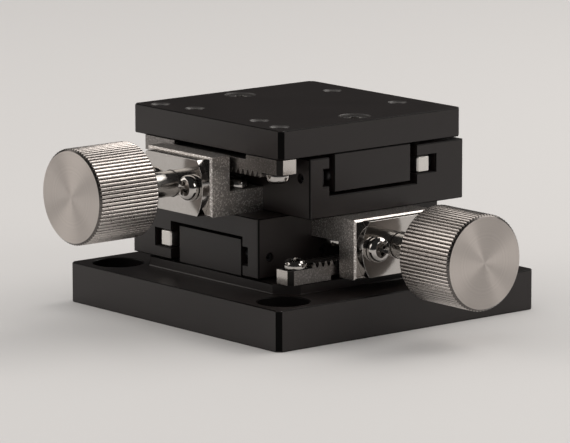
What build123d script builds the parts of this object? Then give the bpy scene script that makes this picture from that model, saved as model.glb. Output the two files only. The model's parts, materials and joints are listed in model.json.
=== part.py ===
from build123d import *
from math import atan, cos, pi, radians, sin, sqrt, tan
import os

os.makedirs("parts", exist_ok=True)

# A manual XY stage. Two ball slides, one turned over and crossed on the other, carry a table
# plate over a base plate. A knurled knob drives each slide through a rack and pinion.
# Millimetres, +Z up. The origin is the centre of the base plate's underside, the lower slide
# runs along X and the upper slide along Y.

# Travel of a slide from stop to stop, and where each one stands, counted from mid-travel
travel = 20.0
x_setting = -1.0
y_setting = 0.2

# Length of both slides, of the pedestal under them and of the table plate over them
stage_length = 50.0

# Base plate, with the raised pedestal that the lower slide sits on
base_margin = 10.5
base_thickness = 8.7
pedestal_height = 2.2
pedestal_corner_cut = 4.2
pedestal_foot_radius = 0.3
base_bolt_inset = 7.5
base_bolt_hole = 6.6
base_bolt_counterbore = 11.0
base_bolt_counterbore_depth = 6.2

# Table plate
plate_thickness = 6.2
table_hole = 3.3
table_hole_mouth = 4.2
table_hole_spacing_x = 38.2
table_hole_spacing_y = 21.6
edge_hole_inset = 3.8
edge_hole_end_inset = 5.0
edge_hole_depth = 3.1
corner_chamfer = 1.0
edge_break = 0.2

# Section of one slide: a block runs in the channel of a body, height 0 is the block's seat
stage_height = 13.25
body_clearance = 0.55
body_corner = 0.4
block_width = 21.1
block_clearance = 0.6
channel_gap = 1.4
channel_depth = 8.2
fixed_wall = 5.35
preload_wall = 13.35

# Ball guides, a thin fixed rail on one side and a thick preloaded rail on the other
guide_depth = 3.9
ball_diameter = 3.0
ball_clearance = 0.03
ball_pitch = 4.5
rail_height = 3.6
rail_setback = 0.55
rail_corner = 0.5
rail_end_break = 0.3
rail_clearance = 0.05
fixed_rail_width = 1.2
fixed_rail_inset = 1.0
preload_rail_width = 3.4
preload_rail_inset = 0.3
preload_gap = 1.5
cage_thickness = 0.8
cage_height = 4.4
cage_gap = 0.3
cage_margin = 2.5
cage_stop_inset = 2.0
cage_stop_head = 2.0
cage_stop_height = 1.0
cage_stop_shank = 1.6
cage_stop_length = 3.0
race_margin = 0.5

# Screws that hold and press the rails, spread along a body
rail_screw_inset = 3.15
rail_screw_count = 4
rail_screw = 2.0
rail_screw_length = 3.0
preload_screw = 3.0
preload_screw_length = 8.0

# Stop pin, pressed through both bodies into a slot in each block
stop_pin = 3.0
stop_reach = 1.5
stop_slot_depth = 2.0
stop_slot_clearance = 0.1
stop_end_clearance = 0.05

# Rack and pinion
module_size = 0.5
pressure_angle = 20.0
pinion_teeth = 13
profile_shift = 0.24
tooth_thinning = 0.04
root_depth_factor = 1.25
rack_inset = 2.0
rack_end_land = 5.7
rack_width = 4.5
rack_from_body = 8.0
rack_overhang = 0.3
rack_body = 3.1
rack_pad_length = 11.0
rack_relief = 1.0
rack_screw = 2.5
rack_screw_head = 5.0
rack_screw_inset = 3.1
rack_screw_depth = 2.8
lower_rack_shift = -0.9
upper_rack_shift = -1.9

# Bracket that carries the pinion shaft, and the flanged bearing in it
lower_bracket_shift = 0.3
upper_bracket_shift = 1.2
bracket_width = 21.5
bracket_height = 12.7
bracket_from_rack = 6.0
upright_thickness = 5.0
foot_thickness = 5.1
bracket_bore = 9.04
bracket_edge = 0.4
foot_screw_from_body = 4.6
foot_screw_spacing = 14.8
flange_radius = 10.4
flange_height = 11.9
flange_thickness = 2.0
flange_lip = 0.5
flange_lip_clearance = 0.1
flange_screw_spacing = 13.4
spigot_clearance = 0.02
drive_screw = 3.0
drive_screw_head = 5.4
foot_screw_thread = 4.0
flange_screw_length = 6.0
bushing_diameter = 7.0
bushing_length = 5.7
ring_thickness = 0.6
ring_diameter = 6.7
ring_groove_depth = 0.3
ring_play = 0.05

# Shaft and knob
shaft_diameter = 5.5
shaft_clearance = 0.015
shaft_in_knob = 11.8
shaft_flat_depth = 0.4
shaft_flat_length = 6.0
pinion_root_step = 0.05
pinion_length = 5.4
pinion_end_gap = 0.4
knob_diameter = 20.2
knob_length = 15.4
knob_from_flange = 10.9
knob_chamfer = 0.5
knob_bore_depth = 12.0
knurl_pitch = 0.84
knurl_depth = 0.3
knurl_groove_share = 0.5
knob_screw = 3.0
knob_screw_inset = 3.5
knob_screw_length = 5.0

# Screws that join the plates, the blocks and the bodies
block_screw_inset = 5.85
block_thread_depth = 6.0
base_screw = 4.0
base_screw_length = 12.0
base_screw_recess = 0.6
table_screw = 3.0
table_screw_length = 8.0
table_screw_recess = 0.4
joint_screw = 3.0
joint_screw_length = 8.0
joint_screw_head = 5.6
joint_screw_spacing_x = 16.0
joint_screw_sink = 0.1
thread_clearance = 0.02
hole_clearance = 0.2
thread_run_out = 0.4
socket_head_ratio = 11 / 6
socket_recess_clearance = 0.5

# Forms of the screws: a pan head in shares of its width or height, the others of their thread
pan_height = 0.4
pan_rim = 1 / 3
pan_shoulder = 0.39
pan_shoulder_height = 0.85
pan_recess_span = 0.56
pan_recess_width = 0.13
socket_key = 0.84
socket_depth = 0.55
socket_edge = 0.08
countersunk_key = 2 / 3
countersunk_depth = 0.5
set_screw_key = 0.5
set_screw_edge = 0.1
set_screw_depth = 0.5
cage_stop_rounding = 0.6
flank_steps = 5

# Levels and offsets that follow from the sizes above
pedestal_top = base_thickness + pedestal_height
table_bottom = pedestal_top + 2 * stage_height
body_height = stage_height - body_clearance
web_thickness = body_height - channel_depth
channel_top = stage_height - web_thickness
channel_width = block_width + 2 * channel_gap
block_height = channel_top - block_clearance
guide_height = channel_top - guide_depth
rail_face = channel_width / 2 + rail_setback
ball_offset = (block_width / 2 + rail_face) / 2
race_radius = ball_diameter / 2 + ball_clearance
body_front = channel_width / 2 + fixed_wall
body_back = channel_width / 2 + preload_wall
cage_stop_x = stage_length / 2 - cage_stop_inset
cage_space = 2 * cage_stop_x - cage_stop_head - travel / 2
ball_count = int((cage_space - 2 * cage_margin) / ball_pitch) + 1
ball_row = (ball_count - 1) * ball_pitch
race_length = ball_row + travel / 2 + ball_diameter + 2 * race_margin
cage_length = ball_row + 2 * cage_margin
cage_offset = block_width / 2 + cage_gap + cage_thickness / 2
rack_from_centre = body_front + rack_from_body
rack_length = stage_length - 2 * rack_inset
rack_pitch = pi * module_size
rack_teeth = 2 * int((rack_length / 2 - rack_end_land) / rack_pitch)
rack_line = rack_body + root_depth_factor * module_size
pinion_radius = module_size * pinion_teeth / 2
axis_height = rack_line + pinion_radius + profile_shift * module_size
stage_width = 2 * (rack_from_centre - rack_overhang)
base_length = stage_length + 2 * base_margin
base_width = stage_width + 2 * base_margin
bracket_reach = rack_from_centre + bracket_from_rack
flange_face = bracket_reach + flange_thickness
bracket_inside = bracket_reach - upright_thickness
pinion_face = bracket_inside - pinion_end_gap
knob_back = flange_face + knob_from_flange
shaft_end = knob_back + shaft_in_knob
foot_underside = stage_height - foot_thickness
ring_place = bracket_inside + bushing_length

# Frames of the pieces: each slide is drawn once, with its travel along its own x and its rack
# on the -y side, and the upper one is that drawing turned over about the diagonal
lower_seat = Plane((0, 0, pedestal_top))
lower_middle = Plane((x_setting / 2, 0, pedestal_top))
carriage_seat = Plane((x_setting, 0, pedestal_top))
turned_over = {"x_dir": (0, 1, 0), "z_dir": (0, 0, -1)}
table_seat = Plane((x_setting, y_setting, table_bottom), **turned_over)
upper_middle = Plane((x_setting, y_setting / 2, table_bottom), **turned_over)
carriage_back = Plane((x_setting, 0, table_bottom), **turned_over)

# Turns that point a screw's head along -z, -y, +y and +x
facing_down = (180, 0, 0)
facing_front = (90, 0, 0)
facing_back = (-90, 0, 0)
facing_right = (0, 90, 0)


def write(piece, name, frame=Plane.XY):
    """Move a piece from its slide's frame into the stage, label it and write it."""
    placed = piece.moved(frame.location)
    placed.label = name
    export_step(placed, f"parts/{name}.step")


def spread(span, count):
    """Evenly spaced positions over a span centred on zero."""
    return [span * (i / (count - 1) - 0.5) for i in range(count)]


# Screws, drawn with the underside of the head, or the open end, at height 0 and the shank below

def pan_screw(diameter, length, head):
    """A pan-head screw with a cross recess."""
    height = pan_height * head
    rim = (head / 2, pan_rim * height)
    shoulder = (pan_shoulder * head, pan_shoulder_height * height)
    span = pan_recess_span * head
    width = pan_recess_width * head
    with BuildPart() as screw:
        with BuildSketch(Plane.XZ):
            with BuildLine():
                Polyline((0, height), (0, 0), (head / 2, 0), rim)
                ThreePointArc(rim, shoulder, (0, height))
            make_face()
        revolve(axis=Axis.Z)
        Cylinder(diameter / 2, length, align=(Align.CENTER, Align.CENTER, Align.MAX))
        with Locations((0, 0, height)):
            Box(span, width, height, mode=Mode.SUBTRACT)
            Box(width, span, height, mode=Mode.SUBTRACT)
    return screw.part


def socket_screw(diameter, length):
    """A cylindrical socket-head screw."""
    with BuildPart() as screw:
        Cylinder(socket_head_ratio * diameter / 2, diameter, align=(Align.CENTER, Align.CENTER, Align.MIN))
        chamfer(screw.edges().sort_by(Axis.Z)[-1], socket_edge * diameter)
        Cylinder(diameter / 2, length, align=(Align.CENTER, Align.CENTER, Align.MAX))
        with BuildSketch(Plane.XY.offset(diameter)):
            RegularPolygon(socket_key * diameter / 2, 6, major_radius=False)
        extrude(amount=-socket_depth * diameter, mode=Mode.SUBTRACT)
    return screw.part


def countersunk_screw(diameter, length, head):
    """A flat-head socket screw, its face at height 0."""
    cone = (head - diameter) / 2
    with BuildPart() as screw:
        Cylinder(diameter / 2, length, align=(Align.CENTER, Align.CENTER, Align.MAX))
        with BuildSketch(Plane.XZ):
            Polygon((0, 0), (head / 2, 0), (diameter / 2, -cone), (0, -cone), align=None)
        revolve(axis=Axis.Z)
        with BuildSketch():
            RegularPolygon(countersunk_key * diameter / 2, 6, major_radius=False)
        extrude(amount=-countersunk_depth * diameter, mode=Mode.SUBTRACT)
    return screw.part


def set_screw(diameter, length):
    """A headless socket screw with a flat tip."""
    with BuildPart() as screw:
        Cylinder(diameter / 2, length, align=(Align.CENTER, Align.CENTER, Align.MAX))
        chamfer(screw.edges().filter_by(GeomType.CIRCLE), set_screw_edge * diameter)
        with BuildSketch():
            RegularPolygon(set_screw_key * diameter / 2, 6, major_radius=False)
        extrude(amount=-set_screw_depth * length, mode=Mode.SUBTRACT)
    return screw.part


def set_of(screw, places, turn=(0, 0, 0)):
    """Copies of a screw at several places, as separate solids of one part."""
    with BuildPart() as group:
        with Locations(*[Location(place, turn) for place in places]):
            add(screw)
    return group.part


def drilled(places, turn, diameter, depth):
    """Plain drill shapes that go in from each place, against the way that a screw's head faces."""
    with BuildPart() as drill:
        with Locations(*[Location(place, turn) for place in places]):
            Cylinder(diameter / 2, depth, align=(Align.CENTER, Align.CENTER, Align.MAX))
    return drill.part


# Places of the fasteners in the frame of a slide

rail_screw_span = stage_length - 2 * rail_screw_inset
fixed_screw_places = [(x, -body_front, guide_height) for x in spread(rail_screw_span, rail_screw_count)]
preload_screw_places = [(x, body_back, guide_height) for x in spread(rail_screw_span, rail_screw_count)]
block_screw_spacing = stage_length - 2 * block_screw_inset
block_screw_places = [(x, 0, 0) for x in spread(block_screw_spacing, 2)]
joint_screw_spacing_y = channel_width + fixed_wall
joint_screw_places = [
    (x, y) for x in spread(joint_screw_spacing_x, 2) for y in spread(joint_screw_spacing_y, 2)
]


def rack_screw_places(shift, height):
    """Where a rack's two screws go through it, at a height."""
    y = rack_width / 2 - rack_from_centre
    return [(shift + x, y, height) for x in spread(rack_length - 2 * rack_screw_inset, 2)]


def foot_screw_places(shift, height):
    """Where a bracket's two foot screws go, at a height."""
    y = body_front + foot_screw_from_body
    return [(shift + x, -y, height) for x in spread(foot_screw_spacing, 2)]


def flange_screw_places(shift):
    """Where a flange's two screws go, on its outer face."""
    return [(shift + x, -flange_face, axis_height) for x in spread(flange_screw_spacing, 2)]


# Slide block, which carries the inner ball races and the slot for the stop pin

def make_block(thread):
    with BuildPart() as block:
        Box(stage_length, block_width, block_height, align=(Align.CENTER, Align.CENTER, Align.MIN))
        chamfer(block.edges(), edge_break)
        with BuildSketch(Plane.YZ):
            with Locations((ball_offset, guide_height), (-ball_offset, guide_height)):
                Circle(race_radius)
        extrude(amount=race_length / 2, both=True, mode=Mode.SUBTRACT)
        with BuildSketch(Plane.XY.offset(block_height)):
            slot_width = stop_pin + 2 * stop_slot_clearance
            SlotOverall(travel + stop_pin + 2 * stop_end_clearance, slot_width)
        extrude(amount=-stop_slot_depth, mode=Mode.SUBTRACT)
        add(drilled(block_screw_places, facing_down, thread + 2 * thread_clearance, block_thread_depth),
            mode=Mode.SUBTRACT)
        for side, turn in ((-1, facing_front), (1, facing_back)):
            places = [(x, side * block_width / 2, guide_height) for x in (-cage_stop_x, cage_stop_x)]
            stop_hole = drilled(places, turn, cage_stop_shank + 2 * thread_clearance, cage_stop_length)
            add(stop_hole, mode=Mode.SUBTRACT)
    return block.part


def make_cage_stops():
    """Small round-headed screws at the ends of both races, which keep the cages in."""
    with BuildPart() as stop:
        Cylinder(cage_stop_head / 2, cage_stop_height, align=(Align.CENTER, Align.CENTER, Align.MIN))
        fillet(stop.edges().sort_by(Axis.Z)[-1], cage_stop_rounding)
        Cylinder(cage_stop_shank / 2, cage_stop_length - thread_run_out,
                 align=(Align.CENTER, Align.CENTER, Align.MAX))
    with BuildPart() as stops:
        for side, turn in ((-1, facing_front), (1, facing_back)):
            places = [(x, side * block_width / 2, guide_height) for x in (-cage_stop_x, cage_stop_x)]
            add(set_of(stop.part, places, turn))
    return stops.part


# Slide body, a channel with a thin wall for the fixed rail and a thick one for the preloaded rail

def make_body(other_bracket_shift):
    slot_height = rail_height + 2 * rail_clearance
    fixed_slot = rail_setback + fixed_rail_width
    preload_slot = rail_setback + preload_rail_width + preload_gap
    with BuildPart() as body:
        with BuildSketch(Plane.YZ):
            with Locations((-body_front, body_clearance)):
                Rectangle(body_front + body_back, body_height, align=(Align.MIN, Align.MIN))
            with Locations((0, body_clearance)):
                Rectangle(channel_width, channel_depth, align=(Align.CENTER, Align.MIN), mode=Mode.SUBTRACT)
            with Locations((-channel_width / 2, guide_height)):
                Rectangle(fixed_slot, slot_height, align=(Align.MAX, Align.CENTER), mode=Mode.SUBTRACT)
            with Locations((channel_width / 2, guide_height)):
                Rectangle(preload_slot, slot_height, align=(Align.MIN, Align.CENTER), mode=Mode.SUBTRACT)
        extrude(amount=stage_length / 2, both=True)
        corners = body.edges().filter_by(Axis.Z)
        chamfer(corners.group_by(Axis.Y)[0] + corners.group_by(Axis.Y)[-1], body_corner)
        chamfer(body.faces().filter_by(Axis.X).edges(), edge_break)
        for level in (0, -1):
            rims = body.faces().filter_by(Axis.Z).group_by(Axis.Z)[level].edges()
            chamfer(rims.filter_by(Axis.X), edge_break)
        fixed_drill = rail_screw + 2 * thread_clearance
        preload_drill = preload_screw + 2 * thread_clearance
        add(drilled(fixed_screw_places, facing_front, fixed_drill, fixed_wall), mode=Mode.SUBTRACT)
        add(drilled(preload_screw_places, facing_back, preload_drill, preload_wall), mode=Mode.SUBTRACT)
        bracket_drill = drive_screw + 2 * thread_clearance
        bracket_places = [(y, x, stage_height) for x, y, z in foot_screw_places(other_bracket_shift, 0)]
        add(drilled(bracket_places, (0, 0, 0), bracket_drill, web_thickness), mode=Mode.SUBTRACT)
        add(drilled([(0, 0, stage_height)], (0, 0, 0), stop_pin, web_thickness), mode=Mode.SUBTRACT)
    return body.part


def with_joint_threads(body):
    """The lower body, tapped from its back for the screws that join the bodies."""
    depth = joint_screw_length - web_thickness + thread_run_out
    places = [(x, y, stage_height) for x, y in joint_screw_places]
    with BuildPart() as tapped:
        add(body)
        add(drilled(places, (0, 0, 0), joint_screw + 2 * thread_clearance, depth), mode=Mode.SUBTRACT)
    return tapped.part


def with_joint_countersinks(body):
    """The upper body, with countersunk holes for the same screws in the floor of its channel."""
    sink_radius = joint_screw_head / 2 + joint_screw_sink
    with BuildPart() as sunk:
        add(body)
        with Locations(*[Location((y, x, channel_top), facing_down) for x, y in joint_screw_places]):
            CounterSinkHole(joint_screw / 2 + hole_clearance, sink_radius, web_thickness,
                            counter_sink_angle=90)
    return sunk.part


# Guide rails with a round ball race along them, and the screws behind them

def make_rail(side, width, inset):
    with BuildPart() as rail:
        with BuildSketch(Plane.YZ):
            with Locations((side * (rail_face + width / 2), guide_height)):
                RectangleRounded(width, rail_height, rail_corner)
        extrude(amount=stage_length / 2 - inset, both=True)
        chamfer(rail.faces().filter_by(Axis.X).edges(), rail_end_break)
        with BuildSketch(Plane.YZ):
            with Locations((side * ball_offset, guide_height)):
                Circle(race_radius)
        extrude(amount=race_length / 2, both=True, mode=Mode.SUBTRACT)
    return rail.part


def make_rail_screws():
    """Set screws in the thin wall, their tips on the back of the fixed rail."""
    back = rail_face + fixed_rail_width + rail_screw_length
    return set_of(set_screw(rail_screw, rail_screw_length), [(x, -back, z) for x, y, z in fixed_screw_places],
                  facing_front)


def make_preload_screws():
    """Set screws in the thick wall, their tips on the back of the preloaded rail."""
    back = rail_face + preload_rail_width + preload_screw_length
    return set_of(set_screw(preload_screw, preload_screw_length),
                  [(x, back, z) for x, y, z in preload_screw_places], facing_back)


# Balls and the strips that keep them apart, which travel half as far as the slide

def make_cage(side):
    with BuildPart() as cage:
        with Locations((0, side * cage_offset, guide_height)):
            Box(cage_length, cage_thickness, cage_height)
        with Locations(*[(x, side * cage_offset, guide_height) for x in spread(ball_row, ball_count)]):
            Cylinder(race_radius, 2 * cage_thickness, rotation=facing_front, mode=Mode.SUBTRACT)
    return cage.part


def make_balls():
    with BuildPart() as balls:
        for side in (-1, 1):
            with Locations(*[(x, side * ball_offset, guide_height) for x in spread(ball_row, ball_count)]):
                Sphere(ball_diameter / 2)
    return balls.part


# Rack with straight-flanked teeth between two plain ends, relieved underneath between its pads

def make_rack(shift):
    flank_slope = tan(radians(pressure_angle))
    half_tooth = rack_pitch / 4 - tooth_thinning / 2
    half_root = half_tooth + root_depth_factor * module_size * flank_slope
    half_tip = half_tooth - module_size * flank_slope
    with BuildPart() as rack:
        with BuildSketch(Plane.XZ.offset(rack_from_centre)):
            with Locations((shift, 0)):
                Rectangle(rack_length, rack_body, align=(Align.CENTER, Align.MIN))
                Rectangle(rack_length - 2 * rack_pad_length, rack_relief, align=(Align.CENTER, Align.MIN),
                          mode=Mode.SUBTRACT)
            with Locations(*[(shift + x, 0) for x in spread((rack_teeth - 1) * rack_pitch, rack_teeth)]):
                Polygon((-half_root, rack_body), (half_root, rack_body), (half_tip, rack_line + module_size),
                        (-half_tip, rack_line + module_size), align=None)
        extrude(amount=-rack_width)
        ends = rack.edges().filter_by(Axis.Z).group_by(Axis.Y)[0]
        chamfer(ends.group_by(Axis.X)[0] + ends.group_by(Axis.X)[-1], corner_chamfer)
        screw_holes = drilled(rack_screw_places(shift, rack_body), (0, 0, 0), rack_screw + 2 * hole_clearance,
                              rack_body)
        add(screw_holes, mode=Mode.SUBTRACT)
    return rack.part


def make_rack_screws(shift):
    length = rack_body + rack_screw_depth - thread_run_out
    return set_of(pan_screw(rack_screw, length, rack_screw_head), rack_screw_places(shift, rack_body))


# Pinion shaft: involute teeth that stand in mesh with the rack, and the journal up to the knob

def involute(angle):
    return tan(angle) - angle


def make_pinion_section(turned):
    """The pinion's section. At an angle of 0 a tooth points at the rack."""
    base_radius = pinion_radius * cos(radians(pressure_angle))
    tip_radius = pinion_radius + module_size * (1 + profile_shift)
    root_radius = shaft_diameter / 2 + pinion_root_step
    shift_width = 2 * profile_shift * module_size * tan(radians(pressure_angle))
    thickness = pi * module_size / 2 + shift_width - tooth_thinning
    tooth_angle = 2 * pi / pinion_teeth
    flank_length = tip_radius - base_radius
    radii = [base_radius + flank_length * step / flank_steps for step in range(flank_steps + 1)]

    def half_angle(radius):
        slope = sqrt((radius / base_radius) ** 2 - 1)
        return thickness / (2 * pinion_radius) + involute(radians(pressure_angle)) - (slope - atan(slope))

    def place(radius, angle):
        return (radius * sin(angle), -radius * cos(angle))

    with BuildSketch() as section:
        with BuildLine():
            for tooth in range(pinion_teeth):
                middle = tooth * tooth_angle + turned
                foot = middle + half_angle(base_radius)
                next_foot = middle + tooth_angle - half_angle(base_radius)
                rising = Spline(*[place(radius, middle - half_angle(radius)) for radius in radii])
                falling = Spline(*[place(radius, middle + half_angle(radius)) for radius in reversed(radii)])
                ThreePointArc(rising @ 1, place(tip_radius, middle), falling @ 0)
                Line(falling @ 1, place(root_radius, foot))
                ThreePointArc(place(root_radius, foot), place(root_radius, middle + tooth_angle / 2),
                              place(root_radius, next_foot))
                Line(place(root_radius, next_foot), place(base_radius, next_foot))
        make_face()
    return section.sketch


def make_shaft(bracket_shift, rolled):
    """The shaft at its bracket, its teeth turned by the distance that it has rolled on its rack."""
    axis_place = (bracket_shift, axis_height)
    with BuildPart() as shaft:
        with BuildSketch(Plane.XZ.offset(pinion_face)):
            with Locations(axis_place):
                add(make_pinion_section(-rolled / pinion_radius))
        extrude(amount=-pinion_length)
        with BuildSketch(Plane.XZ.offset(pinion_face)):
            with Locations(axis_place):
                Circle(shaft_diameter / 2)
        extrude(amount=shaft_end - pinion_face)
        with BuildSketch(Plane.XZ.offset(ring_place)):
            with Locations(axis_place):
                Circle(bushing_diameter / 2)
                Circle(shaft_diameter / 2 - ring_groove_depth, mode=Mode.SUBTRACT)
        extrude(amount=ring_thickness + 2 * ring_play, mode=Mode.SUBTRACT)
        with Locations((bracket_shift + shaft_diameter / 2, -knob_back - knob_screw_inset, axis_height)):
            Box(2 * shaft_flat_depth, shaft_flat_length, shaft_diameter, mode=Mode.SUBTRACT)
    return shaft.part


# Bracket, flanged bearing, bushing and retaining ring

def make_bracket(shift):
    with BuildPart() as bracket:
        with BuildSketch(Plane.YZ.offset(shift)):
            with Locations((-bracket_reach, stage_height)):
                Rectangle(upright_thickness, bracket_height, align=(Align.MIN, Align.MAX))
                Rectangle(bracket_reach - body_front, foot_thickness, align=(Align.MIN, Align.MAX))
        extrude(amount=bracket_width / 2, both=True)
        chamfer(bracket.faces().sort_by(Axis.Y)[0].edges(), bracket_edge)
        reach = bracket_reach - body_front
        bore = drilled([(shift, -bracket_reach, axis_height)], facing_front, bracket_bore, reach)
        add(bore, mode=Mode.SUBTRACT)
        flange_places = [(x, -bracket_reach, z) for x, y, z in flange_screw_places(shift)]
        tapped = drilled(flange_places, facing_front, drive_screw + 2 * thread_clearance, upright_thickness)
        add(tapped, mode=Mode.SUBTRACT)
        foot_places = foot_screw_places(shift, stage_height)
        foot_holes = drilled(foot_places, (0, 0, 0), drive_screw + 2 * hole_clearance, foot_thickness)
        add(foot_holes, mode=Mode.SUBTRACT)
    return bracket.part


def make_foot_screws(shift):
    length = foot_thickness + foot_screw_thread
    screw = pan_screw(drive_screw, length, drive_screw_head)
    return set_of(screw, foot_screw_places(shift, foot_underside), facing_down)


def make_flange(shift):
    """A round plate with two flats and a spigot that fills the bracket's bore. A lip closes its bore."""
    with BuildPart() as flange:
        with BuildSketch(Plane.XZ.offset(bracket_reach)):
            with Locations((shift, axis_height)):
                Circle(flange_radius)
                Rectangle(2 * flange_radius, flange_height, mode=Mode.INTERSECT)
        extrude(amount=flange_thickness)
        with BuildSketch(Plane.XZ.offset(bracket_inside)):
            with Locations((shift, axis_height)):
                Circle(bracket_bore / 2 - spigot_clearance)
        extrude(amount=upright_thickness)
        bore_depth = upright_thickness + flange_thickness - flange_lip
        bore = drilled([(shift, -bracket_inside, axis_height)], facing_back, bushing_diameter, bore_depth)
        add(bore, mode=Mode.SUBTRACT)
        mouth_diameter = shaft_diameter + 2 * flange_lip_clearance
        mouth = drilled([(shift, -flange_face, axis_height)], facing_front, mouth_diameter, flange_lip)
        add(mouth, mode=Mode.SUBTRACT)
        screw_hole = drive_screw + 2 * hole_clearance
        screw_holes = drilled(flange_screw_places(shift), facing_front, screw_hole, flange_thickness)
        add(screw_holes, mode=Mode.SUBTRACT)
    return flange.part


def make_flange_screws(shift):
    return set_of(pan_screw(drive_screw, flange_screw_length, drive_screw_head), flange_screw_places(shift),
                  facing_front)


def make_bushing(shift):
    with BuildPart() as bushing:
        with BuildSketch(Plane.XZ.offset(bracket_inside)):
            with Locations((shift, axis_height)):
                Circle(bushing_diameter / 2)
                Circle(shaft_diameter / 2 + shaft_clearance, mode=Mode.SUBTRACT)
        extrude(amount=bushing_length)
    return bushing.part


def make_ring(shift):
    """The ring in the shaft's groove, which bears on the end of the bushing."""
    with BuildPart() as ring:
        with BuildSketch(Plane.XZ.offset(ring_place + ring_play)):
            with Locations((shift, axis_height)):
                Circle(ring_diameter / 2)
                Circle(shaft_diameter / 2 - ring_groove_depth + thread_clearance, mode=Mode.SUBTRACT)
        extrude(amount=ring_thickness)
    return ring.part


# Knob with a straight knurl, a turned face and a blind bore for the shaft

def make_knob(shift):
    ridges = round(pi * knob_diameter / knurl_pitch)
    crest = knob_diameter / 2
    outline = []
    for ridge in range(ridges):
        for share, radius in ((0, crest), (1 - knurl_groove_share, crest),
                              (1 - knurl_groove_share / 2, crest - knurl_depth)):
            angle = 2 * pi * (ridge + share) / ridges
            outline.append((radius * cos(angle), radius * sin(angle)))
    with BuildPart() as blank:
        with BuildSketch(Plane.XZ.offset(knob_back)):
            with Locations((shift, axis_height)):
                Circle(crest)
        extrude(amount=knob_length)
        chamfer(blank.edges().filter_by(GeomType.CIRCLE), knob_chamfer)
    with BuildPart() as knob:
        with BuildSketch(Plane.XZ.offset(knob_back)):
            with Locations((shift, axis_height)):
                Polygon(*outline, align=None)
        extrude(amount=knob_length)
        add(blank.part, mode=Mode.INTERSECT)
        bore = drilled([(shift, -knob_back, axis_height)], facing_back, shaft_diameter + 2 * shaft_clearance,
                       knob_bore_depth)
        add(bore, mode=Mode.SUBTRACT)
        screw_hole = drilled([(shift + crest, -knob_back - knob_screw_inset, axis_height)], facing_right,
                             knob_screw + 2 * thread_clearance, crest)
        add(screw_hole, mode=Mode.SUBTRACT)
    return knob.part


def make_knob_screw(shift):
    """The set screw in the knob, its tip on the flat of the shaft."""
    outer = shaft_diameter / 2 - shaft_flat_depth + knob_screw_length
    place = (shift + outer, -knob_back - knob_screw_inset, axis_height)
    return set_of(set_screw(knob_screw, knob_screw_length), [place], facing_right)


# Base plate, bolted down at its corners

table_screw_seat = table_screw + table_screw_recess
base_screw_seat = base_screw + base_screw_recess
with BuildPart() as base_plate:
    Box(base_length, base_width, base_thickness, align=(Align.CENTER, Align.CENTER, Align.MIN))
    chamfer(base_plate.edges().filter_by(Axis.Z), corner_chamfer)
    chamfer(base_plate.faces().filter_by(Axis.Z).edges(), edge_break)
    with BuildSketch(Plane.XY.offset(base_thickness)):
        Rectangle(stage_length, stage_width)
        chamfer(vertices(), pedestal_corner_cut)
    extrude(amount=pedestal_height)
    levels = base_plate.faces().filter_by(Axis.Z).sort_by(Axis.Z)
    fillet(levels[1].inner_wires().edges(), pedestal_foot_radius)
    chamfer(base_plate.faces().sort_by(Axis.Z)[-1].edges(), edge_break)
    with Locations((0, 0, base_thickness)):
        with GridLocations(base_length - 2 * base_bolt_inset, base_width - 2 * base_bolt_inset, 2, 2):
            CounterBoreHole(base_bolt_hole / 2, base_bolt_counterbore / 2, base_bolt_counterbore_depth,
                            base_thickness)
    rims = base_plate.edges().filter_by(GeomType.CIRCLE).group_by(Axis.Z)[-1]
    chamfer(rims, edge_break)
    recess = (socket_head_ratio * base_screw + socket_recess_clearance) / 2
    with Locations(*[Location(place, facing_down) for place in block_screw_places]):
        CounterBoreHole(base_screw / 2 + hole_clearance, recess, base_screw_seat, pedestal_top)
    rack_seats = rack_screw_places(lower_rack_shift, pedestal_top)
    rack_threads = drilled(rack_seats, (0, 0, 0), rack_screw + 2 * thread_clearance, rack_screw_depth)
    add(rack_threads, mode=Mode.SUBTRACT)
write(base_plate.part, "base_plate")

# Table plate, with the tapped holes that a load is fastened to

with BuildPart() as table_plate:
    with Locations((0, 0, -plate_thickness)):
        Box(stage_length, stage_width, plate_thickness, align=(Align.CENTER, Align.CENTER, Align.MIN))
    chamfer(table_plate.edges().filter_by(Axis.Z), corner_chamfer)
    chamfer(table_plate.faces().filter_by(Axis.Z).edges(), edge_break)
    top = -plate_thickness
    with Locations(Location((0, 0, top), facing_down)):
        with GridLocations(table_hole_spacing_y, table_hole_spacing_x, 2, 2):
            CounterSinkHole(table_hole / 2, table_hole_mouth / 2, plate_thickness, counter_sink_angle=90)
        with Locations((0, stage_width / 2 - edge_hole_inset)):
            with GridLocations(stage_length - 2 * edge_hole_end_inset, 0, 2, 1):
                CounterSinkHole(table_hole / 2, table_hole_mouth / 2, edge_hole_depth, counter_sink_angle=90)
        with GridLocations(block_screw_spacing, 0, 2, 1):
            recess = socket_head_ratio * table_screw / 2 + socket_recess_clearance
            CounterBoreHole(table_screw / 2 + hole_clearance, recess, table_screw_seat, plate_thickness)
    rims = table_plate.edges().filter_by(GeomType.CIRCLE).group_by(Axis.Z)[0]
    chamfer(rims.group_by(SortBy.RADIUS)[-1], edge_break)
    rack_seats = rack_screw_places(upper_rack_shift, 0)
    rack_threads = drilled(rack_seats, (0, 0, 0), rack_screw + 2 * thread_clearance, rack_screw_depth)
    add(rack_threads, mode=Mode.SUBTRACT)
write(table_plate.part, "table_plate", table_seat)

# Screws and the pin that join the plates, the blocks and the bodies

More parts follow.
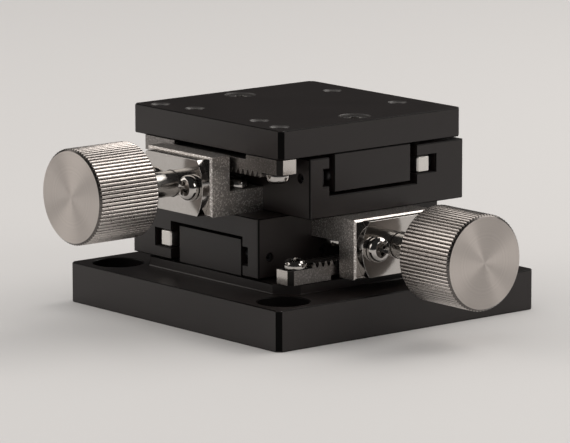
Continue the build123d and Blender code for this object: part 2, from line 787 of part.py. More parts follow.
base_heads = [(x, y, base_screw_seat) for x, y, z in block_screw_places]
table_heads = [(x, y, table_screw_seat - plate_thickness) for x, y, z in block_screw_places]
joint_heads = [(y, x, channel_top) for x, y in joint_screw_places]
write(set_of(socket_screw(base_screw, base_screw_length), base_heads, facing_down), "base_block_screws")
write(set_of(socket_screw(table_screw, table_screw_length), table_heads, facing_down), "table_block_screws",
      table_seat)
write(set_of(countersunk_screw(joint_screw, joint_screw_length, joint_screw_head), joint_heads, facing_down),
      "body_joint_screws", carriage_back)

with BuildPart() as stop_pin_part:
    with Locations((0, 0, stage_height)):
        Cylinder(stop_pin / 2, 2 * (web_thickness + block_clearance + stop_reach))
    chamfer(stop_pin_part.edges().filter_by(GeomType.CIRCLE), edge_break)
write(stop_pin_part.part, "stop_pin", carriage_seat)

# The two slides with their drives

lower_roll = lower_bracket_shift + x_setting - lower_rack_shift
upper_roll = upper_bracket_shift - y_setting - upper_rack_shift
lower_body = with_joint_threads(make_body(upper_bracket_shift))
upper_body = with_joint_countersinks(make_body(lower_bracket_shift))
slides = (
    ("lower", lower_seat, lower_middle, carriage_seat, base_screw, lower_body,
     lower_bracket_shift, lower_rack_shift, lower_roll),
    ("upper", table_seat, upper_middle, carriage_back, table_screw, upper_body,
     upper_bracket_shift, upper_rack_shift, upper_roll),
)
for stage, seat, middle, carriage, thread, slide_body, bracket_shift, rack_shift, rolled in slides:
    write(make_block(thread), f"{stage}_block", seat)
    write(make_cage_stops(), f"{stage}_cage_stop_screws", seat)
    write(make_rack(rack_shift), f"{stage}_rack", seat)
    write(make_rack_screws(rack_shift), f"{stage}_rack_screws", seat)
    write(make_cage(-1), f"{stage}_fixed_side_cage", middle)
    write(make_cage(1), f"{stage}_preload_side_cage", middle)
    write(make_balls(), f"{stage}_balls", middle)
    write(slide_body, f"{stage}_body", carriage)
    write(make_rail(-1, fixed_rail_width, fixed_rail_inset), f"{stage}_fixed_rail", carriage)
    write(make_rail(1, preload_rail_width, preload_rail_inset), f"{stage}_preload_rail", carriage)
    write(make_rail_screws(), f"{stage}_rail_screws", carriage)
    write(make_preload_screws(), f"{stage}_preload_screws", carriage)
    write(make_bracket(bracket_shift), f"{stage}_bracket", carriage)
    write(make_foot_screws(bracket_shift), f"{stage}_bracket_screws", carriage)
    write(make_flange(bracket_shift), f"{stage}_flange", carriage)
    write(make_flange_screws(bracket_shift), f"{stage}_flange_screws", carriage)
    write(make_bushing(bracket_shift), f"{stage}_bushing", carriage)
    write(make_shaft(bracket_shift, rolled), f"{stage}_pinion_shaft", carriage)
    write(make_ring(bracket_shift), f"{stage}_retaining_ring", carriage)
    write(make_knob(bracket_shift), f"{stage}_knob", carriage)
    write(make_knob_screw(bracket_shift), f"{stage}_knob_screw", carriage)
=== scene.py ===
# %% [markdown]
# # A manual XY stage
# The imported model gives every piece of the stage at its real size. This script adds what a
# camera sees: rounded edges, a real knurl, screw heads with their recesses, polished balls,
# and the finish of each metal. First the frame is loaded.

import bmesh
import bpy
import json
from math import cos, pi, radians, sin
from mathutils import Matrix, Vector


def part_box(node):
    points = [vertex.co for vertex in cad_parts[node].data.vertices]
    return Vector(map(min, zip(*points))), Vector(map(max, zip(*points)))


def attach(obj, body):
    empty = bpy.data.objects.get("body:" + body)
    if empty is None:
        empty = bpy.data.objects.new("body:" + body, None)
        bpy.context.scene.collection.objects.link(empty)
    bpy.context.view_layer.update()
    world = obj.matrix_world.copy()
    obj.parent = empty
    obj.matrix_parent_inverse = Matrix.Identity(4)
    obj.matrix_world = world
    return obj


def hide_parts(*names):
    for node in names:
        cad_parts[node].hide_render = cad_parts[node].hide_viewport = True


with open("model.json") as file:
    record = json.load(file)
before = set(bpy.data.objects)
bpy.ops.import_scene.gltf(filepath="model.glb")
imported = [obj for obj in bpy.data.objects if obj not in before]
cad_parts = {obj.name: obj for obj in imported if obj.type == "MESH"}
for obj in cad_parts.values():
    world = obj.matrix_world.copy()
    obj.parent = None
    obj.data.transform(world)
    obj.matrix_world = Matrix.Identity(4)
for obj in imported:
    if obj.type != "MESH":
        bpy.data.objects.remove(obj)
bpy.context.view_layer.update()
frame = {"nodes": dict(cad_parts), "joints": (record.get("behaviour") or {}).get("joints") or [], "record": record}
MM = 0.001
joint_at = {joint["name"]: joint for joint in frame["joints"]}
nodes_of_body = frame["record"]["behaviour"]["bodies"]
body_of_node = {node: body for body, nodes in nodes_of_body.items() for node in nodes}

# %% [markdown]
# ## Camera
# A product photo of this kind is taken from far away with a long lens, so parallel edges stay
# almost parallel. The camera looks down by about ten degrees on the corner between the two
# knobs. Azimuth 0 would look along +Y. The lamps are aimed at the same point by the same two
# functions.

# %% Camera
camera_azimuth = radians(-39.525)
camera_elevation = radians(10.384)
camera_roll = radians(0.128)
camera_distance = 0.98732
camera_target = Vector((-2.65, 2.19, 18.27)) * MM
focal_length_pixels = 4603.2
image_width_pixels = 570
sensor_width_mm = 36
nearest_in_view = 50 * MM


def direction_at(azimuth, elevation):
    """The unit vector from the stage towards a camera or lamp."""
    return Vector((sin(azimuth) * cos(elevation), -cos(azimuth) * cos(elevation), sin(elevation)))


def aimed(back, distance, roll=0.0):
    """The matrix of a camera or lamp that looks back at the target from a direction."""
    return (Matrix.Translation(camera_target + back * distance)
            @ (-back).to_track_quat("-Z", "Y").to_matrix().to_4x4()
            @ Matrix.Rotation(-roll, 4, "Z"))


camera_data = bpy.data.cameras.new("camera")
camera_data.sensor_width = sensor_width_mm
camera_data.lens = sensor_width_mm * focal_length_pixels / image_width_pixels
camera_data.clip_start = nearest_in_view
camera = bpy.data.objects.new("camera", camera_data)
bpy.context.scene.collection.objects.link(camera)
camera.matrix_world = aimed(direction_at(camera_azimuth, camera_elevation), camera_distance, camera_roll)
bpy.context.scene.camera = camera
bpy.context.scene.view_settings.view_transform = "Standard"
print("camera at", [round(value, 4) for value in camera.matrix_world.translation])

# %% [markdown]
# ## A small language for nodes
# A finish is easier to read as arithmetic than as a web of nodes. `Signal` wraps the output
# socket of a node and overloads the operators, so that `1 - mask * 0.4` adds the Math nodes
# by itself. Every other node comes from one method, `node`, which takes its type, then its
# settings, then what its sockets hold or link to. Geometry Nodes use the same two classes.

# %% Signal and Tree
class Signal:
    """The output of a node, which can be used in sums."""

    def __init__(self, tree, socket):
        self.tree = tree
        self.socket = socket

    def __add__(self, other):
        return self.tree.math("ADD", self, other)

    def __radd__(self, other):
        return self.tree.math("ADD", other, self)

    def __sub__(self, other):
        return self.tree.math("SUBTRACT", self, other)

    def __rsub__(self, other):
        return self.tree.math("SUBTRACT", other, self)

    def __mul__(self, other):
        return self.tree.math("MULTIPLY", self, other)

    def __rmul__(self, other):
        return self.tree.math("MULTIPLY", other, self)

    def __truediv__(self, other):
        return self.tree.math("DIVIDE", self, other)

    def __rtruediv__(self, other):
        return self.tree.math("DIVIDE", other, self)


class Tree:
    """A node tree that is built by calls."""

    def __init__(self, nodes_tree):
        self.nodes_tree = nodes_tree

    def node(self, kind, settings=None, inputs=None, output=0):
        """Adds a node: its settings first, then the values or links of its sockets."""
        made = self.nodes_tree.nodes.new(kind)
        for name, value in (settings or {}).items():
            if name == "stops":
                self.set_stops(made.color_ramp, value)
            else:
                setattr(made, name, value)
        for name, value in (inputs or {}).items():
            if isinstance(value, Signal):
                self.nodes_tree.links.new(value.socket, made.inputs[name])
            else:
                made.inputs[name].default_value = value
        return Signal(self, made.outputs[output]) if made.outputs else made

    def set_stops(self, ramp, stops):
        """Gives a colour ramp its stops, each a position and a grey level."""
        while len(ramp.elements) < len(stops):
            ramp.elements.new(0.5)
        for element, (position, level) in zip(ramp.elements, stops):
            element.position = position
            element.color = (level, level, level, 1)

    def math(self, operation, *values):
        return self.node("ShaderNodeMath", {"operation": operation}, dict(enumerate(values)))

    def split(self, vector):
        """The x, y and z of a vector."""
        parts = self.node("ShaderNodeSeparateXYZ", None, {"Vector": vector}).socket.node
        return [Signal(self, output) for output in parts.outputs]


print("node language ready")

# %% [markdown]
# ## Metal finishes
# A machined surface is never one even colour. Its roughness drifts a little, and fine tool
# marks tilt the surface by a degree or two, which is what a Bump node adds. All patterns read
# Object coordinates in metres, so their scale is the real one: a Noise scale of 1000 repeats
# about every millimetre. Faces that differ from the rest of their piece carry an attribute,
# which the finishes read: fine for the breaks along the edges, which are painted dark as a
# painted dark reflection, bright for faces ground to a mirror, whose lighter colour on the
# racks' ends is a painted highlight, thread for the walls of tapped holes, which are painted
# lighter as painted light, and groove for the hollows of a knurl, painted darker as painted
# shade with some oil and dirt.

# %% A metal to start from
mix_node_color = 2


def noise(tree, position, scale, detail=2.0, stretch=(1, 1, 1)):
    """Noise about every 1/scale of a metre, between 0 and 1, drawn out along an axis if asked."""
    placed = tree.node("ShaderNodeMapping", None, {"Vector": position, "Scale": stretch})
    return tree.node("ShaderNodeTexNoise", None, {"Vector": placed, "Scale": scale, "Detail": detail})


def start_material(name):
    """A new material with its tree emptied, and the signal of Object coordinates."""
    material = bpy.data.materials.new(name)
    material.use_nodes = True
    material.node_tree.nodes.clear()
    tree = Tree(material.node_tree)
    position = tree.node("ShaderNodeTexCoord", output="Object")
    return material, tree, position


def attribute(tree, name):
    """A number stored on the faces or points of a piece, 0 on pieces that don't carry it."""
    return tree.node("ShaderNodeAttribute", {"attribute_name": name}, output="Fac")


def tinted(tree, dark, light, share):
    """A colour between two others, by a signal from 0 to 1."""
    return tree.node("ShaderNodeMix", {"data_type": "RGBA"},
                     {"Factor": share, "A": dark if isinstance(dark, Signal) else (*dark, 1),
                      "B": light if isinstance(light, Signal) else (*light, 1)}, output=mix_node_color)


def surface(tree, color, roughness, metallic=1.0, height=None, bump=0.0, level=0.5):
    """A Principled shader. Its height runs from 0 to 1, over a bump of so many millimetres."""
    inputs = {"Base Color": color, "Roughness": roughness, "Metallic": metallic, "Specular IOR Level": level}
    if height is not None:
        inputs["Normal"] = tree.node("ShaderNodeBump", None,
                                     {"Height": height, "Strength": 1.0, "Distance": bump * MM})
    return tree.node("ShaderNodeBsdfPrincipled", None, inputs)


def between(tree, share, first, second):
    """A mix of two shaders, the first where the share is 0 and the second where it is 1."""
    return tree.node("ShaderNodeMixShader", None, {0: share, 1: first, 2: second})


def show(tree, shader):
    """Makes a shader the surface of the material."""
    tree.node("ShaderNodeOutputMaterial", None, {"Surface": shader})


print("finish tools ready")

# %% [markdown]
# The plates and bodies are milled from aluminium and dyed black under a hard satin film. The
# milling leaves level streaks. The broken edges are painted deep black, a painted dark
# reflection, and the walls of the tapped holes are painted lighter, with painted light and
# shade along the turns of their thread.

# %% Black anodised aluminium
thread_pitch = 0.7 * MM


def black_anodised(name):
    """Dyed aluminium, with film, edges painted dark and thread walls painted lighter, told apart by attributes."""
    material, tree, position = start_material(name)
    grain = noise(tree, position, scale=9000, detail=3.0)
    streaks = noise(tree, position, scale=2200, stretch=(0.04, 0.04, 1))
    patches = noise(tree, position, scale=90)
    color = tinted(tree, (0.0048, 0.0029, 0.0026), (0.0138, 0.0093, 0.0084),
                   patches * 0.3 + grain * 0.3 + streaks * 0.4)
    roughness = 0.34 + patches * 0.04 + grain * 0.06 + streaks * 0.08
    film = surface(tree, color, roughness, metallic=0.0, height=grain * 0.4 + streaks * 0.6, bump=0.014,
                   level=0.52)
    # The broken edges are painted near black and reflect little: a painted dark reflection.
    painted_dark_edge_color = tinted(tree, (0.0010, 0.0009, 0.0009), (0.0030, 0.0028, 0.0027), grain)
    cut = surface(tree, painted_dark_edge_color, 0.30, metallic=0.0, level=0.04)
    # The thread walls are painted lighter than the film, with painted light and shade along the turns.
    turns = tree.math("FRACT", tree.split(position)[2] / thread_pitch)
    thread_painted_light_color = tinted(tree, (0.030, 0.028, 0.027), (0.095, 0.089, 0.086), turns)
    thread = surface(tree, thread_painted_light_color, 0.45 + grain * 0.1, metallic=0.0, height=turns, bump=0.1)
    outer = between(tree, attribute(tree, "fine"), film, cut)
    show(tree, between(tree, attribute(tree, "thread"), outer, thread))
    return material


print("black finish ready")

# %% [markdown]
# The metal pieces are nickel plated, ground, polished or left as steel, brass and bronze. The
# brackets are blasted before they are plated; the glinting grains on them are painted glints
# over a real grain relief. The racks take a darker copy of the same nickel, a painted shade.
# The table at the end gives every finish its name, its dark and light colour and its roughness.

# %% Plated and plain metals
painted_glint_stops = [(0.0, 0.0), (0.53, 0.0), (0.62, 1.0)]
painted_glint_color = (0.95, 0.92, 0.88)
mirror_and_painted_highlight_color = (0.54, 0.51, 0.485)
mirror_roughness = 0.12
painted_dark_edge_nickel_color = (0.02, 0.019, 0.018)
painted_dark_edge_steel_color = (0.015, 0.014, 0.013)


def ground_nickel(name, dark, light, glint_share):
    """Nickel plate over a ground face with painted glints in its grains, bright faces and fine faces painted dark.
    """
    material, tree, position = start_material(name)
    grains = noise(tree, position, scale=2200, detail=3.0)
    specks = noise(tree, position, scale=3300, detail=1.0)
    patches = noise(tree, position, scale=200)
    fine = attribute(tree, "fine")
    bright = attribute(tree, "bright")
    # Specks of near-white colour are painted glints, laid over the real relief of the grains.
    painted_glints = tree.node("ShaderNodeValToRGB", {"stops": painted_glint_stops}, {"Fac": specks})
    blasted = tinted(tree, dark, light, patches * 0.3 + grains * 0.7)
    blasted = tinted(tree, blasted, painted_glint_color, painted_glints * glint_share)
    # Fine faces are painted near black, a painted dark reflection; bright faces take the mirror colour.
    color = tinted(tree, tinted(tree, blasted, mirror_and_painted_highlight_color, bright), painted_dark_edge_nickel_color, fine)
    roughness = (0.24 + grains * 0.14) * (1 - bright) + bright * mirror_roughness
    relief = (grains * 0.6 + specks * 0.4) * (1 - bright) * (1 - fine)
    show(tree, surface(tree, color, roughness, height=relief, bump=0.07))
    return material


def polished_nickel(name, roughness, shade):
    """Bright nickel plate with a faint ripple."""
    material, tree, position = start_material(name)
    ripple = noise(tree, position, scale=350)
    haze = noise(tree, position, scale=1500, detail=3.0)
    dark = [value * shade for value in (0.46, 0.44, 0.42)]
    light = [value * shade for value in (0.56, 0.54, 0.52)]
    color = tinted(tree, dark, light, haze)
    show(tree, surface(tree, color, roughness + haze * 0.05, height=ripple, bump=0.01))
    return material


def plain_metal(name, dark, light, roughness, metallic=1.0):
    """A ground or oiled metal that hardly shows, its fine faces painted dark as a painted dark reflection."""
    material, tree, position = start_material(name)
    grain = noise(tree, position, scale=4000, detail=3.0)
    color = tinted(tree, tinted(tree, dark, light, grain), painted_dark_edge_steel_color, attribute(tree, "fine"))
    show(tree, surface(tree, color, roughness + grain * 0.12, metallic, grain, bump=0.008))
    return material


finishes = {
    "black_anodised": black_anodised("black_anodised"),
    "bracket_nickel": ground_nickel("bracket_nickel", (0.24, 0.222, 0.210), (0.74, 0.690, 0.655), 1.0),
    # The racks take a darker copy of the bracket nickel: painted shade.
    "rack_nickel_painted_shade": ground_nickel("rack_nickel_painted_shade", (0.10, 0.093, 0.089), (0.30, 0.282, 0.270), 0.15),
    "polished_nickel": polished_nickel("polished_nickel", 0.08, 1.0),
    "bright_screw": polished_nickel("bright_screw_plate", 0.07, 0.95),
    "ground_steel": plain_metal("ground_steel_bar", (0.42, 0.41, 0.39), (0.54, 0.52, 0.50), 0.18),
    "hardened_steel": plain_metal("hardened_steel_bar", (0.66, 0.64, 0.61), (0.82, 0.80, 0.76), 0.25),
    "screw_steel": plain_metal("stainless_screw_head", (0.20, 0.19, 0.18), (0.60, 0.58, 0.56), 0.22),
    "ball_steel": plain_metal("ball_steel_polish", (0.60, 0.59, 0.58), (0.66, 0.65, 0.64), 0.04),
    "cage_brass": plain_metal("cage_brass_sheet", (0.50, 0.36, 0.13), (0.66, 0.50, 0.22), 0.25),
    "bronze": plain_metal("sintered_bronze", (0.28, 0.17, 0.07), (0.42, 0.27, 0.12), 0.35),
    "black_oxide": plain_metal("black_oxide_steel", (0.014, 0.014, 0.015), (0.030, 0.029, 0.030), 0.28, 0.6),
}
print(len(finishes), "finishes")

# %% [markdown]
# ## The turned face of a knob
# The end of a knob is faced on a lathe, which leaves fine rings. The two sides of each ring
# tilt the surface towards the axis and away from it, and together they spread a highlight
# into the bright fan that turned metal shows. The rings are finer than a pixel, so their
# sides are mixed from shaders of several tilts, and not drawn one by one. The tilt points
# away from the knob's axis, so the finish needs to know where that axis is. The knurled rim
# has no rings: the fine attribute tells the face, the chamfer and the rim apart.

# %% Turned nickel
ring_tilts = (-0.38, -0.23, -0.08, 0.08, 0.23, 0.38)
face_mark = 1.0
chamfer_mark = 0.5
chamfer_painted_shade = 0.85
knurl_hollow_shade_and_dirt_color = (0.035, 0.032, 0.030)


def turned_nickel(name, joint_name):
    """Nickel plate, with lathe rings round the axis of a joint on the marked face."""
    joint = joint_at[joint_name]
    along = [index for index, value in enumerate(joint["axis"]) if value][0]
    centre = [0 if index == along else value for index, value in enumerate(joint["pos_m"])]
    material, tree, position = start_material(name)
    moved = tree.node("ShaderNodeMapping", {"vector_type": "TEXTURE"},
                      {"Vector": position, "Location": centre})
    flattened = tree.node("ShaderNodeVectorMath", {"operation": "MULTIPLY"},
                          {0: moved, 1: [0 if index == along else 1 for index in range(3)]})
    radius = tree.node("ShaderNodeVectorMath", {"operation": "LENGTH"}, {0: flattened}, output="Value")
    outwards = tree.node("ShaderNodeVectorMath", {"operation": "NORMALIZE"}, {0: flattened})
    outwards = tree.node("ShaderNodeVectorTransform",
                         {"vector_type": "VECTOR", "convert_from": "OBJECT", "convert_to": "WORLD"},
                         {"Vector": outwards})
    rings = tree.node("ShaderNodeTexNoise", {"noise_dimensions": "1D"},
                      {"W": radius, "Scale": 2500.0, "Detail": 3.0})
    grain = noise(tree, position, scale=5000)
    wear = noise(tree, position, scale=900, detail=3.0)
    normal = tree.node("ShaderNodeNewGeometry", output="Normal")
    ring_color = tinted(tree, (0.48, 0.440, 0.412), (0.62, 0.572, 0.538), rings * 0.6 + grain * 0.4)
    turned = None
    for count, tilt in enumerate(ring_tilts, 1):
        side = surface(tree, ring_color, 0.27 + grain * 0.04)
        tilted = tree.node("ShaderNodeVectorMath", {"operation": "MULTIPLY_ADD"},
                           {0: outwards, 1: [tilt] * 3, 2: normal})
        tilted = tree.node("ShaderNodeVectorMath", {"operation": "NORMALIZE"}, {0: tilted})
        tree.nodes_tree.links.new(tilted.socket, side.socket.node.inputs["Normal"])
        turned = side if turned is None else between(tree, 1 / count, turned, side)
    fine = attribute(tree, "fine")
    face = tree.math("GREATER_THAN", fine, (face_mark + chamfer_mark) / 2)
    chamfer = tree.math("GREATER_THAN", fine, chamfer_mark / 2)
    # The knurl's grooves are painted darker, painted shade with some oil and dirt; the chamfer is painted darker
    # too, a painted dark reflection.
    hollow = tree.math("MAXIMUM", attribute(tree, "groove"), chamfer * chamfer_painted_shade)
    ridge_color = tinted(tree, (0.66, 0.612, 0.580), (0.76, 0.706, 0.670), wear)
    rim = surface(tree, tinted(tree, ridge_color, knurl_hollow_shade_and_dirt_color, hollow), 0.24 + wear * 0.08)
    show(tree, between(tree, face, rim, turned))
    return material


knob_finish = {
    "lower_knob": turned_nickel("turned_nickel_x", "x_knob_turn"),
    "upper_knob": turned_nickel("turned_nickel_y", "y_knob_turn"),
}
print("knob axes", joint_at["x_knob_turn"]["pos_m"], joint_at["y_knob_turn"]["pos_m"])

# %% [markdown]
# ## Machined pieces
# Plates, bodies, blocks and brackets already have their true shape, so a copy of each is kept
# and only its edges are finished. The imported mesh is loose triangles, so first they are welded
# and the flat ones merged.

# %% Pieces made from nodes
weld_distance = 0.0005 * MM
flat_angle = radians(0.5)


def settle(piece, node_names, finish):
    """Puts a finished piece on its body in place of its nodes."""
    piece.data.materials.clear()
    piece.data.materials.append(finish)
    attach(piece, body_of_node[node_names[0]])
    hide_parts(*node_names)
    return piece


def applied(piece):
    """The piece with its modifiers turned into plain mesh."""
    evaluated = piece.evaluated_get(bpy.context.evaluated_depsgraph_get())
    mesh = bpy.data.meshes.new_from_object(evaluated)
    piece.modifiers.clear()
    piece.data = mesh
    return piece


def linked(name, mesh):
    """A new object at the origin with a mesh."""
    piece = bpy.data.objects.new(name, mesh)
    bpy.context.scene.collection.objects.link(piece)
    return piece


def welded(node_name):
    """The mesh of a node with its triangles joined and its flat faces merged."""
    shape = bmesh.new()
    shape.from_mesh(frame["nodes"][node_name].data)
    bmesh.ops.remove_doubles(shape, verts=shape.verts, dist=weld_distance)
    bmesh.ops.dissolve_limit(shape, angle_limit=flat_angle, verts=shape.verts, edges=shape.edges)
    return shape


print("mesh tools ready")

# %% [markdown]
# The finishes need to know which faces of a piece are chamfers, hole walls or ground ends. A
# rule looks at one face, its direction and where it lies, and says how strongly it is marked.
# The facets of a round hole can lie at 45 degrees too, so a chamfer must also bend clearly at
# all its edges. The walls of the table's holes are told from its outer sides by how far they
# lie inside the outline, and those of the base's bolt holes by their place.

# %% Rules that mark faces
square_tolerance = 0.05
chamfer_bend = radians(20)
facing = 0.9
outer_edge = 1.2 * MM
bolt_inset = 7.5 * MM
bolt_hole_reach = 5.7 * MM
hole_wall_painted_shade = 0.8
plate_box = {name: [Vector(corner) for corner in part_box(name)] for name in ("table_plate", "base_plate")}
outward = {"lower": Vector((0, -1, 0)), "upper": Vector((-1, 0, 0))}
crossing = {"lower": "upper", "upper": "lower"}


def broken_edge(face):
    """1 on a chamfer between two square faces, which lies at 45 degrees to both."""
    small, middle, large = sorted(abs(value) for value in face.normal)
    bends = [edge.calc_face_angle(0) for edge in face.edges]
    return float(small < square_tolerance and large - middle < square_tolerance
                 and min(bends) > chamfer_bend)


def mark(shape, name, rule):
    """Gives the faces of a shape an attribute, by a rule for each face."""
    layer = shape.faces.layers.float.new(name)
    shape.normal_update()
    for face in shape.faces:
        face[layer] = rule(face)


def inside_outline(node_name, face):
    """How far the middle of a face lies inside the outline of its plate, along x and along y."""
    low, high = plate_box[node_name]
    middle = face.calc_center_median()
    return Vector((min(middle.x - low.x, high.x - middle.x), min(middle.y - low.y, high.y - middle.y)))


def table_hole_wall(face):
    """1 on the walls and mouths of the table's holes."""
    return float(abs(face.normal.z) < facing and min(inside_outline("table_plate", face)) > outer_edge)


# The walls of the base's bolt holes are painted dark: painted shade in the holes.
def base_dark_edges_and_hole_shade(face):
    """1 on the broken edges of the base, painted dark, and a weaker mark on its bolt hole walls, painted shade."""
    from_bolt = inside_outline("base_plate", face) - Vector((bolt_inset, bolt_inset))
    on_wall = abs(face.normal.z) < facing and from_bolt.length < bolt_hole_reach
    return max(broken_edge(face), hole_wall_painted_shade * float(on_wall))


def looks_along(direction):
    """A rule that marks the faces that look along a direction."""
    return lambda face: float(face.normal.dot(direction) > facing)


print("knobs point along", {stage: tuple(direction) for stage, direction in outward.items()})

# %% [markdown]
# A Bevel rounds the corners a little, which is what catches the light along every edge of a
# real machined part. A Weighted Normal keeps the large faces flat. The table below gives each
# kind of piece its finish and the width of its rounded edges in millimetres.

# %% Edges that catch the light
rounded_from = radians(32)
rounding_segments = 2


def softened(node_name, width, finish, rules):
    """A copy of a node with welded faces, marked by rules, and with rounded edges."""
    shape = welded(node_name)
    for name, rule in rules.items():
        mark(shape, name, rule)
    mesh = bpy.data.meshes.new(node_name + "_edges")
    shape.to_mesh(mesh)
    shape.free()
    for polygon in mesh.polygons:
        polygon.use_smooth = True
    piece = linked(node_name + "_finished", mesh)
    bevel = piece.modifiers.new("edges", "BEVEL")
    bevel.width = width * MM
    bevel.segments = rounding_segments
    bevel.limit_method = "ANGLE"
    bevel.angle_limit = rounded_from
    piece.modifiers.new("flats", "WEIGHTED_NORMAL")
    return settle(applied(piece), [node_name], finish)


machined = {
    "base_plate": ("black_anodised", 0.05),
    "table_plate": ("black_anodised", 0.05),
    "block": ("black_anodised", 0.05),
    "body": ("black_anodised", 0.05),
    "bracket": ("bracket_nickel", 0.08),
    "flange": ("polished_nickel", 0.08),
    "rack": ("rack_nickel_painted_shade", 0.04),
    "preload_rail": ("hardened_steel", 0.05),
    # The fixed rail is black oxide so that it shows dark in its slot: painted shade.
    "fixed_rail": ("black_oxide", 0.05),
    "pinion_shaft": ("ground_steel", 0.04),
    "table_block_screws": ("screw_steel", 0.06),
    "base_block_screws": ("black_oxide", 0.06),
}
for node_name in sorted(frame["nodes"]):
    stage, kind = node_name.split("_", 1)
    kind = kind if stage in outward else node_name
    if kind in machined:
        finish_name, width = machined[kind]
        rules = {"fine": broken_edge}
        if kind == "bracket":
            rules = {"bright": looks_along(outward[stage])}
        # On the racks the end faces take the lighter mirror colour: a painted highlight on a polished face.
        elif kind == "rack":
            rules["bright"] = looks_along(outward[crossing[stage]])
        elif kind == "table_plate":
            rules["thread"] = table_hole_wall
        elif kind == "base_plate":
            rules["fine"] = base_dark_edges_and_hole_shade
        made = softened(node_name, width, finishes[finish_name], rules)
        print(made.name, len(made.data.polygons), "faces")

# %% [markdown]
# ## Geometry Nodes from a script
# A Geometry Nodes tree starts with a named input for each size, so that the same tree makes
# every piece of its kind. `run_tree` hangs the tree on an object as a modifier, gives the
# inputs their values by the identifiers of their sockets, and turns the result into mesh.

# %% Trees with named inputs
pole_weld = 0.0001 * MM


def geometry_tree(name, sizes):
    """A new tree with a geometry input and output, and one input for each name and socket type."""
    group = bpy.data.node_groups.new(name, "GeometryNodeTree")
    group.interface.new_socket("Geometry", in_out="INPUT", socket_type="NodeSocketGeometry")
    group.interface.new_socket("Geometry", in_out="OUTPUT", socket_type="NodeSocketGeometry")
    for label, socket_type in sizes.items():
        group.interface.new_socket(label, in_out="INPUT", socket_type=socket_type)
    tree = Tree(group)
    entry = group.nodes.new("NodeGroupInput")
    inputs = {label: Signal(tree, entry.outputs[label]) for label in ("Geometry", *sizes)}
    return group, tree, inputs


def run_tree(piece, group, values):
    """Runs a tree on a piece with the given inputs and keeps the mesh that it makes."""
    modifier = piece.modifiers.new(group.name, "NODES")
    modifier.node_group = group
    for item in group.interface.items_tree:
        if item.in_out == "INPUT" and item.name in values:
            modifier[item.identifier] = values[item.name]
    return applied(piece)


def shade_by_angle(tree, geometry, angle):
    """Smooth faces, with the edges sharper than an angle kept sharp."""
    smooth = tree.node("GeometryNodeSetShadeSmooth", {"domain": "FACE"}, {"Geometry": geometry})
    edge_angle = tree.node("GeometryNodeInputMeshEdgeAngle")
    sharp = tree.math("GREATER_THAN", edge_angle, angle)
    return tree.node("GeometryNodeSetShadeSmooth", {"domain": "EDGE"},
                     {"Geometry": smooth, "Selection": sharp, "Shade Smooth": False})


def turned(name, profile, segments):
    """A mesh turned on the z axis from a profile of radius and height, closed at its poles."""
    shape = bmesh.new()
    line = [shape.verts.new((radius, 0, height)) for radius, height in profile]
    edges = [shape.edges.new(pair) for pair in zip(line, line[1:])]
    bmesh.ops.spin(shape, geom=line + edges, cent=(0, 0, 0), axis=(0, 0, 1), angle=2 * pi, steps=segments,
                   use_merge=True)
    bmesh.ops.remove_doubles(shape, verts=shape.verts, dist=pole_weld)
    bmesh.ops.recalc_face_normals(shape, faces=shape.faces)
    mesh = bpy.data.meshes.new(name)
    shape.to_mesh(mesh)
    shape.free()
    return mesh


print("tree tools ready")

# %% [markdown]
# ## Knobs
# A knob is turned first and knurled after: a wheel with straight teeth is rolled along its
# rim, which leaves flat ridges with sharp grooves between them. The tree does the same. It
# works out how far each point stands from the axis and presses it down to the knurl's own
# height at that angle, where it stands higher. The chamfers at the two ends lie lower, so the
# grooves run out on them by themselves. A hole for the set screw is cut last. The chamfer's
# edges stay sharp, or else the light on the ridges would lean from one end to the other.

# %% Knurled knobs
knurl_pitch = 0.84 * MM
knurl_depth = 0.30 * MM
ridge_flat = 0.45
flank_share = 0.88
hollow_share = 0.12
points_per_ridge = 12
chamfer_steps = 6
knob_chamfer = 0.5 * MM
least_radius = 0.001 * MM
drill_sides = 32
drill_reach = 0.65
sharp_from = radians(35)

knurl, tree, size = geometry_tree("knurl", {
    "Ridges": "NodeSocketInt", "Crest": "NodeSocketFloat", "Depth": "NodeSocketFloat",
    "Flat": "NodeSocketFloat", "Screw Hole": "NodeSocketFloat", "Screw Height": "NodeSocketFloat",
    "Place": "NodeSocketVector", "Turn": "NodeSocketRotation", "Finish": "NodeSocketMaterial"})
x, y, z = tree.split(tree.node("GeometryNodeInputPosition"))
radius = tree.math("SQRT", x * x + y * y)
ridge = tree.math("FRACT", tree.math("ARCTAN2", y, x) / (2 * pi) * size["Ridges"])
from_middle = tree.math("ABSOLUTE", ridge * 2 - 1)
groove = tree.math("MAXIMUM", from_middle - size["Flat"], 0) / (1 - size["Flat"])
sunk = size["Depth"] * (groove * flank_share + from_middle * from_middle * hollow_share)
pressed = tree.math("MINIMUM", radius, size["Crest"] - sunk)
share = pressed / tree.math("MAXIMUM", radius, least_radius)
moved = tree.node("ShaderNodeCombineXYZ", None, {"X": x * share, "Y": y * share, "Z": z})
marked = tree.node("GeometryNodeStoreNamedAttribute", {"data_type": "FLOAT", "domain": "POINT"},
                   {"Geometry": size["Geometry"], "Name": "groove", "Value": groove})
knurled = tree.node("GeometryNodeSetPosition", None, {"Geometry": marked, "Position": moved})
drill = tree.node("GeometryNodeMeshCylinder", None,
                  {"Vertices": drill_sides, "Radius": size["Screw Hole"], "Depth": size["Crest"]})
drill_place = tree.node("ShaderNodeCombineXYZ", None,
                        {"X": size["Crest"] * drill_reach, "Z": size["Screw Height"]})
drill = tree.node("GeometryNodeTransform", None,
                  {"Geometry": drill, "Translation": drill_place, "Rotation": (0, pi / 2, 0)})
drilled = tree.node("GeometryNodeMeshBoolean", {"operation": "DIFFERENCE"},
                    {"Mesh 1": knurled, "Mesh 2": drill})
